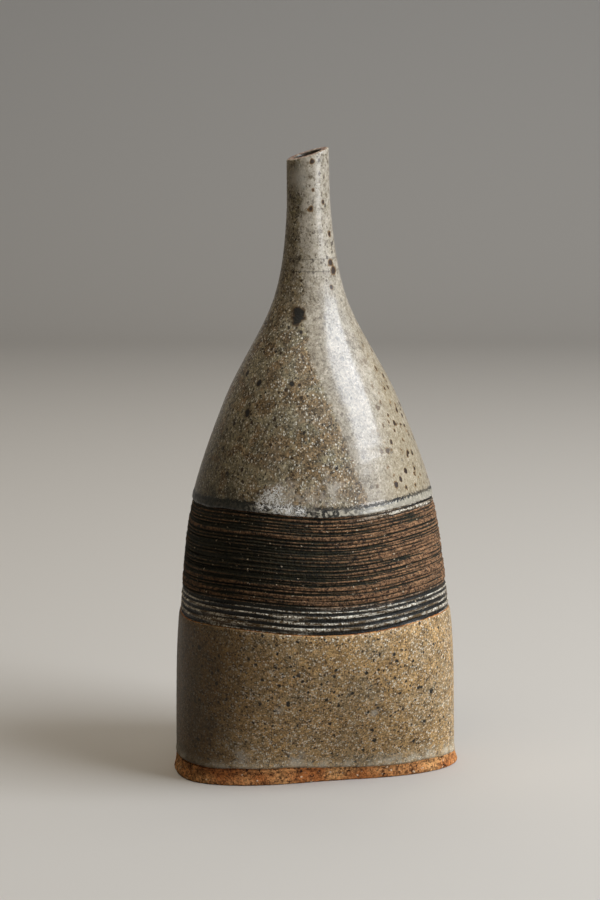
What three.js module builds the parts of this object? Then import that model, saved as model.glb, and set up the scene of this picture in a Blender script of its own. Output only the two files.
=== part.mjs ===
// A stoneware weed pot: a bottle for a few dried stems. Its members are thrown on the wheel and
// joined wet with slip, combed round the middle, pressed flat towards the foot, set on a slab base
// and glazed above and below the combed band. Each fired member and each glaze coat is one solid.
import * as THREE from 'three';

// Driving dimensions in millimetres. X runs along the long side of the pressed foot, Y along its
// short side and Z up from the table. Widths and depths are those of the finished surface.
const footWidth = 100;
const footDepth = 47;
const footCorner = 2.8;
const baseThickness = 6;
const baseStandOut = 0.8;
const lowerWallHeight = 52;

const bandHeight = 39;
const bandBottomWidth = 95.6;
const bandBottomDepth = 87;
const bandBottomCorner = 2.1;
const bandTopWidth = 85;
const bandTopDepth = 82;
const bandInset = 0.4;
const grooveCount = 22;
const grooveDepth = 0.6;

const shoulderHeight = 71;
const shoulderMiddleRise = 35;
const shoulderMiddleWidth = 60.4;

const neckHeight = 48.3;
const neckRootWidth = 24.4;
const neckWaistRise = 27;
const neckWaistWidth = 15.6;
const lipWidth = 14.4;
const lipSlantDegrees = 17;
const lipSlantReach = 30;
const lean = 3.3;

const wallThickness = 5;
const neckRootWall = 4.2;
const neckWaistWall = 3;
const lipWall = 2.4;
const glazeThickness = 0.5;
const glazeRollHeight = 2;
const glazeRollProud = 0.4;

// Joints: each member's rim is bevelled up towards the inside, and a film of slip fills the gap.
const jointBevel = 2;
const slipGap = 0.3;
const glazeBond = 0.05;

// Facets: points round each section, and the greatest rise between two sections.
const pointsRound = 40;
const outerStep = 9;
const innerStep = 13;

// Heights of the joints, from the table up. The lip is cut slanting, and lipHeight is its middle.
const bandBottom = baseThickness + lowerWallHeight;
const bandTop = bandBottom + bandHeight;
const neckRoot = bandTop + shoulderHeight;
const lipHeight = neckRoot + neckHeight;
const roundCorner = 2;

// Sections of the finished pot that its outline passes through. Above the band it is round.
function roundStation(height, width, wall) {
  return { height, halfWidth: width / 2, halfDepth: width / 2, corner: roundCorner, wall };
}

const stations = [
  { height: 0, halfWidth: footWidth / 2, halfDepth: footDepth / 2, corner: footCorner, wall: wallThickness },
  {
    height: bandBottom,
    halfWidth: bandBottomWidth / 2,
    halfDepth: bandBottomDepth / 2,
    corner: bandBottomCorner,
    wall: wallThickness,
  },
  {
    height: bandTop,
    halfWidth: bandTopWidth / 2,
    halfDepth: bandTopDepth / 2,
    corner: roundCorner,
    wall: wallThickness,
  },
  roundStation(bandTop + shoulderMiddleRise, shoulderMiddleWidth, wallThickness),
  roundStation(neckRoot, neckRootWidth, neckRootWall),
  roundStation(neckRoot + neckWaistRise, neckWaistWidth, neckWaistWall),
  roundStation(lipHeight, lipWidth, lipWall),
];

// Slope of one measure between a station and the next.
function rateAfter(index, measure) {
  const lower = stations[index];
  const upper = stations[index + 1];
  return (upper[measure] - lower[measure]) / (upper.height - lower.height);
}

// Slope of one measure at a station: the two neighbouring slopes, weighed by the other's span.
function slopeAt(index, measure) {
  const last = stations.length - 1;
  if (index === 0) return rateAfter(0, measure);
  if (index === last) return rateAfter(last - 1, measure);
  const below = stations[index].height - stations[index - 1].height;
  const above = stations[index + 1].height - stations[index].height;
  return (rateAfter(index - 1, measure) * above + rateAfter(index, measure) * below) / (below + above);
}

// A smooth curve of one measure through the stations, read at a height.
function measureAt(height, measure) {
  let index = 0;
  while (index < stations.length - 2 && height > stations[index + 1].height) index += 1;
  const lower = stations[index];
  const upper = stations[index + 1];
  const span = upper.height - lower.height;
  const along = (height - lower.height) / span;
  const rest = 1 - along;
  const fromLower = rest * rest * ((1 + 2 * along) * lower[measure] + along * span * slopeAt(index, measure));
  const fromUpper = along * along * ((3 - 2 * along) * upper[measure] - rest * span * slopeAt(index + 1, measure));
  return fromLower + fromUpper;
}

// The points of one level section. The offset moves the whole section out, or in where negative.
// The section is a superellipse whose middle shifts with the pot's lean, and near the top it
// slants with the lip.
function section(height, offset) {
  const halfWidth = measureAt(height, 'halfWidth') + offset;
  const halfDepth = measureAt(height, 'halfDepth') + offset;
  const power = 2 / measureAt(height, 'corner');
  const middle = -lean * height / lipHeight;
  const slantShare = THREE.MathUtils.smoothstep(height, lipHeight - lipSlantReach, lipHeight);
  const slant = slantShare * Math.tan(THREE.MathUtils.degToRad(lipSlantDegrees));
  const points = [];
  for (let k = 0; k < pointsRound; k += 1) {
    const turn = 2 * Math.PI * k / pointsRound;
    const across = Math.cos(turn);
    const away = Math.sin(turn);
    const x = halfWidth * Math.sign(across) * Math.abs(across) ** power;
    const y = halfDepth * Math.sign(away) * Math.abs(away) ** power;
    points.push(new THREE.Vector3(middle + x, y, height + slant * x));
  }
  return points;
}

// Heights from one level to another, both included, in equal steps no longer than the given one.
function levels(from, to, step) {
  const count = Math.max(1, Math.ceil(Math.abs(to - from) / step));
  return Array.from({ length: count + 1 }, (_, i) => from + (to - from) * i / count);
}

// Triangles that join one section to the next. Each four-sided facet is split along the diagonal
// that climbs with the turn, on the way up and on the way down, so that a coat's inside matches
// the clay it covers.
function sideTriangles(from, to, goesUp) {
  const triangles = [];
  for (let k = 0; k < pointsRound; k += 1) {
    const next = (k + 1) % pointsRound;
    if (goesUp) {
      triangles.push(from + k, from + next, to + next);
      triangles.push(from + k, to + next, to + k);
    } else {
      triangles.push(from + k, from + next, to + k);
      triangles.push(from + next, to + next, to + k);
    }
  }
  return triangles;
}

function solidFrom(loops, triangles) {
  const geometry = new THREE.BufferGeometry();
  geometry.setFromPoints(loops.flat());
  geometry.setIndex(triangles);
  geometry.computeVertexNormals();
  return geometry;
}

// A hollow member: sections up its outside, then down its inside, closing on itself.
function hollowMember(outside, inside) {
  const loops = [...outside, ...inside];
  const triangles = loops.flatMap((_, i) => {
    const next = (i + 1) % loops.length;
    return sideTriangles(i * pointsRound, next * pointsRound, i < outside.length - 1);
  });
  return solidFrom(loops, triangles);
}

// A solid slab: one section below and one above, with flat faces between the points of each.
function slab(below, above) {
  const triangles = sideTriangles(0, pointsRound, true);
  for (let k = 1; k < pointsRound - 1; k += 1) {
    triangles.push(0, k + 1, k);
    triangles.push(pointsRound, pointsRound + k, pointsRound + k + 1);
  }
  return solidFrom([below, above], triangles);
}

// Surfaces of the clay under the glaze and of the hollow inside.
const clayOffset = -glazeThickness;

function clayOutside(from, to) {
  return levels(from, to, outerStep).map((height) => section(height, clayOffset));
}

function hollowInside(from, to) {
  return levels(from, to, innerStep).map((height) => section(height, -measureAt(height, 'wall')));
}

// Where a member ends below and begins above a joint, half the slip on each side.
const belowJoint = (height) => height - slipGap / 2;
const aboveJoint = (height) => height + slipGap / 2;

// Base: a rolled slab of bare clay, pressed to the foot's outline, a little wider than the wall.
function baseSlab() {
  return slab(section(0, baseStandOut), section(baseThickness, baseStandOut));
}

// Lower wall: from the slab to the band, round above and pressed flat towards the foot.
function lowerWall() {
  const bottom = baseThickness + slipGap;
  const top = belowJoint(bandBottom);
  return hollowMember(clayOutside(bottom, top), hollowInside(top + jointBevel, bottom));
}

// Combed band: ridges left between grooves that were cut with a comb on the wheel.
function combedBand() {
  const bottom = aboveJoint(bandBottom);
  const top = belowJoint(bandTop);
  const pitch = (top - bottom) / grooveCount;
  const outside = [section(bottom, -bandInset)];
  for (let i = 0; i < grooveCount; i += 1) {
    outside.push(section(bottom + (i + 0.5) * pitch, -bandInset - grooveDepth));
    outside.push(section(bottom + (i + 1) * pitch, -bandInset));
  }
  return hollowMember(outside, hollowInside(top + jointBevel, bottom + jointBevel));
}

// Shoulder: a bell that draws the wall in from the band to the root of the neck.
function shoulder() {
  const bottom = aboveJoint(bandTop);
  const top = belowJoint(neckRoot);
  return hollowMember(clayOutside(bottom, top), hollowInside(top + jointBevel, bottom + jointBevel));
}

// Neck: a narrow tube with an open bore, cut slanting at the lip.
function neck() {
  const bottom = aboveJoint(neckRoot);
  return hollowMember(clayOutside(bottom, lipHeight), hollowInside(lipHeight, bottom + jointBevel));
}

// A glaze coat: the finished surface outside, and inside it the clay that the coat is fused to.
function glazeCoat(outside, clayLevels) {
  const inside = clayLevels.map((height) => section(height, clayOffset + glazeBond));
  return hollowMember(outside, inside.reverse());
}

// Lower glaze: on the lower wall, from the bare edge of the base to the band.
function lowerGlaze() {
  const heights = levels(baseThickness + slipGap, belowJoint(bandBottom), outerStep);
  return glazeCoat(heights.map((height) => section(height, 0)), heights);
}

// Upper glaze: on the shoulder and neck, with a thick roll where it stopped running at the band.
function upperGlaze() {
  const bottom = aboveJoint(bandTop);
  const shoulderLevels = levels(bottom, belowJoint(neckRoot), outerStep);
  const neckLevels = levels(aboveJoint(neckRoot), lipHeight, outerStep);
  const clayLevels = [...shoulderLevels, ...neckLevels];
  const roll = [section(bottom, glazeRollProud), section(bottom + glazeRollHeight, glazeRollProud / 2)];
  const surface = clayLevels.slice(1).map((height) => section(height, 0));
  return glazeCoat([...roll, ...surface], clayLevels);
}

function stoneware(color, roughness) {
  return new THREE.MeshStandardMaterial({ color, roughness, metalness: 0 });
}

function member(name, geometry, material) {
  const mesh = new THREE.Mesh(geometry, material);
  mesh.name = name;
  return mesh;
}

const weedPot = new THREE.Group();
weedPot.add(
  member('base_slab', baseSlab(), stoneware(0x8a5a36, 0.9)),
  member('lower_wall', lowerWall(), stoneware(0x8c6544, 0.9)),
  member('combed_band', combedBand(), stoneware(0x3f2f24, 0.75)),
  member('shoulder', shoulder(), stoneware(0x8c6544, 0.9)),
  member('neck', neck(), stoneware(0x7a5a40, 0.85)),
  member('lower_glaze', lowerGlaze(), stoneware(0x8a7558, 0.5)),
  member('upper_glaze', upperGlaze(), stoneware(0x9a8f7a, 0.3)),
);

export default weedPot;
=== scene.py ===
import functools
import math
import random

import bmesh
import bpy
from mathutils import Matrix, Vector, noise


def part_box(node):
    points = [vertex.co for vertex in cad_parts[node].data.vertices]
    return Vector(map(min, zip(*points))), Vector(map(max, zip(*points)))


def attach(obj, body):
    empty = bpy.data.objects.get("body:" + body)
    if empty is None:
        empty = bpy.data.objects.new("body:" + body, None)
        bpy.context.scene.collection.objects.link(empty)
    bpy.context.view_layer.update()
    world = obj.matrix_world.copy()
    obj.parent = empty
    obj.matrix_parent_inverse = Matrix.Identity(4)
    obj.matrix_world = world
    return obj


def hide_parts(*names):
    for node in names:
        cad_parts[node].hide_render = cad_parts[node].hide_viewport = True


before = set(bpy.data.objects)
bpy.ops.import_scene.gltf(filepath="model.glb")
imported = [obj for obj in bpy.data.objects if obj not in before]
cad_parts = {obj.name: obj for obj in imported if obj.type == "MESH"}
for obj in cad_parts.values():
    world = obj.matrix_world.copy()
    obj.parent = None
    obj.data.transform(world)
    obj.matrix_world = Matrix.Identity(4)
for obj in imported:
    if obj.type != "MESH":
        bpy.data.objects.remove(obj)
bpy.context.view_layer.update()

# Lower wall. Stoneware thrown round on the wheel, pressed flat towards the foot while soft, and
# joined with slip to the slab below and the band above. Its outside is glazed and its inside bare.

MM = 0.001

# Heights of the joints between the members, read from the frame, and the film of slip in each.
SLIP_HALF = 0.15 * MM
base_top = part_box("base_slab")[1].z
band_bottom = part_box("combed_band")[0].z - SLIP_HALF
band_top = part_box("upper_glaze")[0].z - SLIP_HALF
neck_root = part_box("neck")[0].z - SLIP_HALF

# The upper glaze drew back this far above the joint as it was fired, and the combing shows up to it.
ROLL_DREW_BACK = 1.2 * MM
roll_edge = band_top + ROLL_DREW_BACK
LIP_SLANT = math.tan(math.radians(17))
LIP_HALF_WIDTH = 7.2 * MM
lip_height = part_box("upper_glaze")[1].z - LIP_SLANT * LIP_HALF_WIDTH

# Sections that the finished outline passes through, from the foot to the lip.
SHOULDER_RISE = 35 * MM
NECK_RISE = 27 * MM
STATION_HEIGHTS = (0.0, band_bottom, band_top, band_top + SHOULDER_RISE, neck_root,
                   neck_root + NECK_RISE, lip_height)
HALF_WIDTHS = (50.0 * MM, 47.8 * MM, 42.5 * MM, 30.2 * MM, 12.2 * MM, 7.8 * MM, LIP_HALF_WIDTH)
HALF_DEPTHS = (23.5 * MM, 43.5 * MM, 41.0 * MM, 30.2 * MM, 12.2 * MM, 7.8 * MM, LIP_HALF_WIDTH)
CORNERS = (2.8, 2.1, 2.0, 2.0, 2.0, 2.0, 2.0)
WALLS = (5.0 * MM, 5.0 * MM, 5.0 * MM, 5.0 * MM, 4.2 * MM, 3.0 * MM, 2.4 * MM)
GLAZE_THICKNESS = 0.5 * MM
JOINT_BEVEL = 2.0 * MM
LEAN = 3.3 * MM
LIP_SLANT_REACH = 30 * MM


def rise_between(values, index):
    """Slope of one measure from a station to the next."""
    return (values[index + 1] - values[index]) / (STATION_HEIGHTS[index + 1] - STATION_HEIGHTS[index])


def slope_at(values, index):
    """Slope of the smooth curve of one measure at a station."""
    if index == 0:
        return rise_between(values, 0)
    if index == len(values) - 1:
        return rise_between(values, index - 1)
    below = STATION_HEIGHTS[index] - STATION_HEIGHTS[index - 1]
    above = STATION_HEIGHTS[index + 1] - STATION_HEIGHTS[index]
    slope_below = rise_between(values, index - 1)
    slope_above = rise_between(values, index)
    return (slope_below * above + slope_above * below) / (below + above)


@functools.lru_cache(maxsize=None)
def wall_measure(values, height):
    """A smooth curve of one measure through the stations, read at a height."""
    index = 0
    while index < len(values) - 2 and height > STATION_HEIGHTS[index + 1]:
        index += 1
    span = STATION_HEIGHTS[index + 1] - STATION_HEIGHTS[index]
    along = (height - STATION_HEIGHTS[index]) / span
    rest = 1 - along
    lower = (1 + 2 * along) * values[index] + along * span * slope_at(values, index)
    upper = (3 - 2 * along) * values[index + 1] - rest * span * slope_at(values, index + 1)
    return rest * rest * lower + along * along * upper


def smooth_share(value, start, end):
    """0 up to start, 1 past end and a smooth step between them. start may be the larger of the two."""
    share = min(max((value - start) / (end - start), 0.0), 1.0)
    return share * share * (3 - 2 * share)


def levels(start, end, step):
    """Even levels from start to end, no further apart than step."""
    count = max(1, math.ceil(abs(end - start) / step))
    return [start + (end - start) * i / count for i in range(count + 1)]


STEPS_ROUND = 360
COARSE_STEP = 4 * MM
WELD_DISTANCE = 0.001 * MM


def throw(profile, closed=True):
    """Wraps a grid once round the wheel's axis, its rows on the profile's (radius, height) points."""
    rows = len(profile) if closed else len(profile) - 1
    bm = bmesh.new()
    bmesh.ops.create_grid(bm, x_segments=STEPS_ROUND, y_segments=rows, size=0.5)
    for vert in bm.verts:
        turn = math.tau * (vert.co.x + 0.5)
        radius, height = profile[round((vert.co.y + 0.5) * rows) % len(profile)]
        vert.co = (radius * math.cos(turn), radius * math.sin(turn), height)
    bmesh.ops.remove_doubles(bm, verts=bm.verts[:], dist=WELD_DISTANCE)
    bmesh.ops.recalc_face_normals(bm, faces=bm.faces[:])
    return bm


# Pressing and drying: the round pot takes the foot's flattened section, its lines rise a little at
# the corners, its two pressed faces go slightly hollow at the foot, and the whole pot leans.
CORNER_RISE = 0.7 * MM
BAND_TILT = 0.008
FACE_HOLLOW = 1.3 * MM
FACE_HOLLOW_WIDTH = 17 * MM
FACE_HOLLOW_HEIGHT = 22 * MM
SLOW_UNEVENNESS = 0.4 * MM
SLOW_TURNS = 1.4
SLOW_HEIGHT = 38 * MM
STEADY_LIP = 30 * MM
THROWING_RIDGE = 0.015 * MM
THROWING_PITCH = 4.6 * MM
SLAB_EDGE = 6 * MM


def hand_unevenness(turn, height):
    """How far the hand-made wall strays from its outline."""
    around = Vector((SLOW_TURNS * math.cos(turn), SLOW_TURNS * math.sin(turn), height / SLOW_HEIGHT))
    slow = noise.noise(around) * smooth_share(height, lip_height, lip_height - STEADY_LIP)
    ridges = math.sin(math.tau * height / THROWING_PITCH - turn)
    return SLOW_UNEVENNESS * slow + THROWING_RIDGE * ridges


def press(bm):
    """Moves every point of a thrown member to where pressing, drying and firing left it."""
    wheel_height = bm.verts.layers.float.new("wheel_height")
    wall_depth = bm.verts.layers.float.new("wall_depth")
    for vert in bm.verts:
        radius = math.hypot(vert.co.x, vert.co.y)
        turn = math.atan2(vert.co.y, vert.co.x)
        height = vert.co.z
        half_width = wall_measure(HALF_WIDTHS, height)
        vert[wheel_height] = height
        vert[wall_depth] = half_width - radius
        half_depth = wall_measure(HALF_DEPTHS, height)
        power = 2 / wall_measure(CORNERS, height)
        inset = max(radius - half_width, -SLAB_EDGE)
        flattening = (half_depth + inset) / (half_width + inset)
        radius += hand_unevenness(turn, height) * min(radius / half_width, 1.0)
        across = math.cos(turn)
        away = math.sin(turn)
        x = radius * math.copysign(abs(across) ** power, across)
        y = radius * flattening * math.copysign(abs(away) ** power, away)
        hollow = math.exp(-(x / FACE_HOLLOW_WIDTH) ** 2 - (height / FACE_HOLLOW_HEIGHT) ** 2)
        y -= math.copysign(FACE_HOLLOW * hollow * min(abs(y) / half_depth, 1.0), y)
        lift = smooth_share(height, base_top, band_bottom) * smooth_share(height, neck_root, band_top)
        slant = LIP_SLANT * smooth_share(height, lip_height - LIP_SLANT_REACH, lip_height)
        rise = lift * (BAND_TILT * x - CORNER_RISE * math.cos(4 * turn)) + slant * x
        vert.co = (x - LEAN * height / lip_height, y, height + rise)


def outer(height, offset):
    """A profile point that stands out from the pot's outline by offset."""
    return wall_measure(HALF_WIDTHS, height) + offset, height


def inner(height):
    """A profile point on the inside of the wall."""
    return wall_measure(HALF_WIDTHS, height) - wall_measure(WALLS, height), height


def clay_member(bottom, inside_bottom, top, inside_top):
    """A plain ring of clay between two bevelled joints, under the glaze outside and bare inside."""
    outside = [outer(height, -GLAZE_THICKNESS) for height in levels(bottom, top, COARSE_STEP)]
    inside = [inner(height) for height in levels(inside_top, inside_bottom, COARSE_STEP)]
    bm = throw(outside + inside)
    press(bm)
    return bm


def set_piece(bm, name, node, material):
    """Makes a finished mesh the piece that stands for a CAD node."""
    for face in bm.faces:
        face.smooth = True
    mesh = bpy.data.meshes.new(name)
    bm.to_mesh(mesh)
    bm.free()
    mesh.materials.append(material)
    piece = bpy.data.objects.new(name, mesh)
    bpy.context.scene.collection.objects.link(piece)
    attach(piece, "root")
    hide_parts(node)


def linear(hex_colour):
    """An sRGB colour, written as six hex digits, in the linear values that shaders take."""
    channels = [int(hex_colour[i:i + 2], 16) / 255 for i in (0, 2, 4)]
    return tuple(c / 12.92 if c <= 0.04045 else ((c + 0.055) / 1.055) ** 2.4 for c in channels) + (1.0,)


def feed(tree, node, links):
    """Gives inputs of a node a value, a socket that feeds them, or a node whose first output does.

    On a MapRange node, inputs 1 and 2 are the range that comes in, and 3 and 4 the one that goes out.
    """
    for key, value in links.items():
        if isinstance(value, bpy.types.Node):
            value = value.outputs[0]
        if isinstance(value, bpy.types.NodeSocket):
            tree.links.new(value, node.inputs[key])
        else:
            node.inputs[key].default_value = value


def add_node(tree, kind, links=None, **settings):
    """Adds a shader node with its settings, and feeds its inputs."""
    node = tree.nodes.new("ShaderNode" + kind)
    for name, value in settings.items():
        setattr(node, name, value)
    feed(tree, node, links or {})
    return node


# Each layer of grains: how much larger its grains are than the finest, and its share of the level.
GRAIN_LAYERS = ((1.0, 0.6), (2.2, 0.4))


def add_grains(tree, place, size):
    """A random level from 0 to 1 for each grain, small grains lying among larger ones."""
    level = 0.0
    for growth, share in GRAIN_LAYERS:
        cells = add_node(tree, "TexVoronoi", {"Vector": place, "Scale": 1 / (growth * size)})
        chance = add_node(tree, "SeparateColor", {"Color": cells.outputs["Color"]})
        level = add_node(tree, "Math", {0: chance, 1: share, 2: level}, operation="MULTIPLY_ADD")
    return level


SPECK_RUFFLE = 1.2 * MM
SPECK_RUFFLE_SIZE = 0.8 * MM
SPECK_EDGE = 0.1 * MM


def add_specks(tree, place, colour, layers, strength=1.0):
    """Scatters ragged specks over a colour, layer by layer.

    A layer is (cell size, least radius, largest radius, colour). Each cell draws a radius between the
    two, and has no speck where it is below zero.
    """
    ruffle = add_node(tree, "TexNoise", {"Vector": place, "Scale": 1 / SPECK_RUFFLE_SIZE})
    ruffled = add_node(tree, "VectorMath", {0: ruffle.outputs["Color"], 1: (SPECK_RUFFLE,) * 3,
                                            2: place}, operation="MULTIPLY_ADD")
    for cell, least, largest, speck_hex in layers:
        cells = add_node(tree, "TexVoronoi", {"Vector": ruffled, "Scale": 1 / cell})
        chance = add_node(tree, "SeparateColor", {"Color": cells.outputs["Color"]})
        radius = add_node(tree, "MapRange", {0: chance, 3: least / cell, 4: largest / cell})
        reach = add_node(tree, "Math", {0: radius, 1: cells.outputs["Distance"]}, operation="SUBTRACT")
        share = add_node(tree, "MapRange", {0: reach, 1: -SPECK_EDGE / cell, 2: SPECK_EDGE / cell,
                                            4: strength})
        colour = add_node(tree, "MixRGB", {"Fac": share, "Color1": colour, "Color2": linear(speck_hex)})
    return colour


def new_material(name):
    """A new material, its node tree and its shader."""
    material = bpy.data.materials.new(name)
    material.use_nodes = True
    return material, material.node_tree, material.node_tree.nodes["Principled BSDF"]


# Bare stoneware, fired unglazed: matt, toasted orange where the flame reached it, with coarse grog
# that gives a grain of about a millimetre, pale grits and a few iron specks.
TOAST_SIZE = 14 * MM
PIT_SIZE = 0.75 * MM
PIT_DEPTH = 0.4 * MM
GROG_SIZE = 0.55 * MM
clay, tree, shader = new_material("bare_toasted_stoneware")
place = add_node(tree, "TexCoord").outputs["Object"]
toast = add_node(tree, "TexNoise", {"Vector": place, "Scale": 1 / TOAST_SIZE, "Detail": 3.0})
grain = add_node(tree, "TexNoise", {"Vector": place, "Scale": 1 / PIT_SIZE, "Detail": 2.0,
                                    "Roughness": 0.75})
grog = add_grains(tree, place, GROG_SIZE)
toast_share = add_node(tree, "MapRange", {0: toast, 1: 0.38, 2: 0.62})
toasted = add_node(tree, "MixRGB", {"Fac": toast_share, "Color1": linear("d98546"),
                                    "Color2": linear("ffbc76")})
grain_share = add_node(tree, "MapRange", {0: grog, 1: 0.08, 2: 0.75})
grained = add_node(tree, "MixRGB", {"Fac": grain_share, "Color1": linear("462510"), "Color2": toasted})
colour = add_specks(tree, place, grained, (
    (1.7 * MM, -0.2 * MM, 0.42 * MM, "f8dab4"),
    (3.4 * MM, -0.5 * MM, 0.5 * MM, "3a2413"),
))
pits = add_node(tree, "Bump", {"Height": grain, "Strength": 0.9, "Distance": PIT_DEPTH})
feed(tree, shader, {"Base Color": colour, "Normal": pits, "Roughness": 0.85, "Specular IOR Level": 0.3})

lower_top = band_bottom - SLIP_HALF
set_piece(clay_member(base_top, base_top, lower_top, lower_top + JOINT_BEVEL),
          "pressed_wall", "lower_wall", clay)

# Combed band. The same stoneware, combed on the wheel so that ridges stand between uneven grooves,
# and washed with iron that stayed dark in the grooves and wore off the ridges. Slip joins its rims.

BAND_INSET = 0.4 * MM
BAND_RING_STEP = 0.17 * MM
COMBED_SKIN = 2.5 * MM
DEEPEST_CUT = 0.9 * MM
STRIATION = 0.42 * MM
STRIATION_PITCH = 0.45 * MM
STRIATION_TURNS = 3.1
TORN_CLAY = 0.22 * MM
TORN_SIZE = 0.9 * MM

# Grooves, each with its depth and half width between two limits. A point of 1 cuts a sharp groove,
# and a higher one a round hollow. Pitches vary by the spread, and lines wander and press unevenly.
COMB_SEED = 14
FIRST_TOOTH = 0.9 * MM
LAST_GAP = 0.7 * MM
COMB_PITCHES = (0.75 * MM, 1.15 * MM, 1.9 * MM)
COMB_SPREAD = (0.88, 1.12)
COMB_DEPTH = (0.5 * MM, 1.0 * MM)
COMB_HALF_WIDTH = (0.32 * MM, 0.6 * MM)
COMB_POINT = 1.0
COMB_PHASES = (0, 50)
COMB_WANDER = 0.25 * MM
COMB_WANDER_TURNS = 1.1
COMB_PRESS = 0.8
COMB_PRESS_CHANGE = 0.6
COMB_PRESS_TURNS = 2.3

# The lowest lines are broad round hollows, with thin crests between them, and hold glaze.
GLAZED_LINES = 9.5 * MM
GLAZED_PITCH = 1.8 * MM
GLAZED_SPREAD = (0.7, 1.3)
GLAZED_DEPTH = (0.45 * MM, 0.75 * MM)
GLAZED_HALF_WIDTH = (0.75 * MM, 0.95 * MM)
GLAZED_POINT = 2.2

# Two narrow lines lie close under the roll of glaze, this far below the top of the band.
TOP_LINES = (0.8 * MM, 2.2 * MM)
TOP_HALF_WIDTH = (0.45 * MM, 0.55 * MM)

comb = random.Random(COMB_SEED)
grooves = []


def cut_groove(middle, depth, half_width, point):
    """Keeps one line of the comb, its depth and width drawn between their limits."""
    grooves.append((middle, comb.uniform(*depth), comb.uniform(*half_width), point,
                    comb.uniform(*COMB_PHASES)))


tooth = band_bottom + FIRST_TOOTH
while tooth < roll_edge - max(TOP_LINES) - LAST_GAP:
    if tooth < band_bottom + GLAZED_LINES:
        pitch, spread = GLAZED_PITCH, GLAZED_SPREAD
        cut_groove(tooth, GLAZED_DEPTH, GLAZED_HALF_WIDTH, GLAZED_POINT)
    else:
        pitch, spread = comb.choice(COMB_PITCHES), COMB_SPREAD
        cut_groove(tooth, COMB_DEPTH, COMB_HALF_WIDTH, COMB_POINT)
    tooth += pitch * comb.uniform(*spread)
for below_top in TOP_LINES:
    cut_groove(roll_edge - below_top, COMB_DEPTH, TOP_HALF_WIDTH, COMB_POINT)


def comb_cut(turn, height):
    """Depth of the combing at a place on the band."""
    across = math.cos(turn)
    away = math.sin(turn)
    cut = 0.0
    for middle, depth, half_width, point, phase in grooves:
        if abs(height - middle) < half_width + COMB_WANDER:
            strayed = Vector((COMB_WANDER_TURNS * across + phase, COMB_WANDER_TURNS * away, phase))
            pressed = Vector((COMB_PRESS_TURNS * across, COMB_PRESS_TURNS * away + phase, phase))
            distance = abs(height - middle - COMB_WANDER * noise.noise(strayed)) / half_width
            deep = depth * (COMB_PRESS + COMB_PRESS_CHANGE * noise.noise(pressed))
            cut = max(cut, deep * (1 - min(distance, 1.0) ** point))
    streak = Vector((STRIATION_TURNS * across, STRIATION_TURNS * away, height / STRIATION_PITCH))
    return cut + STRIATION * max(0.0, noise.noise(streak))


outside = [outer(height, -BAND_INSET) for height in
           levels(band_bottom + SLIP_HALF, roll_edge - SLIP_HALF, BAND_RING_STEP)]
inside = [inner(height + JOINT_BEVEL) for height in
          levels(roll_edge - SLIP_HALF, band_bottom + SLIP_HALF, COARSE_STEP)]
bm = throw(outside + inside)
cut_share = bm.verts.layers.float.new("comb_cut")
for vert in bm.verts:
    radius = math.hypot(vert.co.x, vert.co.y)
    if radius > wall_measure(HALF_WIDTHS, vert.co.z) - COMBED_SKIN:
        turn = math.atan2(vert.co.y, vert.co.x)
        cut = comb_cut(turn, vert.co.z)
        torn = TORN_CLAY * noise.noise(vert.co / TORN_SIZE)
        vert[cut_share] = min(cut / DEEPEST_CUT, 1.0)
        vert.co.xy *= (radius - cut + torn) / radius
press(bm)

# Iron-washed stoneware: nearly black in the grooves, and rusty brown where the comb's ridges were worn
# bare, more and more to the right: partly wear, and partly painted light and shade, lit on the right and
# dark on the left. It is glossy where glaze ran over the lowest and the topmost lines.
# Its grit and its streaks are drawn a little coarser than they are, so that they show.
STREAK_LENGTH = 20 * MM
STREAK_WIDTH = 0.55 * MM
GRIT_SIZE = 0.5 * MM
TEAR_SIZE = 0.6 * MM
TEAR_DEPTH = 0.4 * MM
LEAST_WORN_AND_LIT = -38 * MM
MOST_WORN_AND_LIT = 22 * MM
WASH_POOL = (-33.7 * MM, -30.2 * MM, 82.2 * MM)
WASH_POOL_SHAPE = (1.0, 1.0, 5.0)
WASH_POOL_MIDDLE = 18 * MM
WASH_POOL_EDGE = 48 * MM
GLAZE_RUN_LENGTH = 8 * MM
GLAZE_RUN_WIDTH = 1.1 * MM
washed, tree, shader = new_material("iron_washed_stoneware")
place = add_node(tree, "TexCoord").outputs["Object"]
cut_depth = add_node(tree, "Attribute", attribute_name="comb_cut").outputs["Fac"]
height_up = add_node(tree, "Attribute", attribute_name="wheel_height").outputs["Fac"]
along_lines = add_node(tree, "Mapping", {
    "Vector": place, "Scale": (1 / STREAK_LENGTH, 1 / STREAK_LENGTH, 1 / STREAK_WIDTH)})
streaks = add_node(tree, "TexNoise", {"Vector": along_lines, "Scale": 1.0, "Detail": 3.0,
                                      "Roughness": 0.6})
grains = add_grains(tree, place, GRIT_SIZE)
torn_grain = add_node(tree, "TexNoise", {"Vector": place, "Scale": 1 / TEAR_SIZE, "Detail": 0.7})
across = add_node(tree, "SeparateXYZ", {"Vector": place}).outputs["X"]
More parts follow.
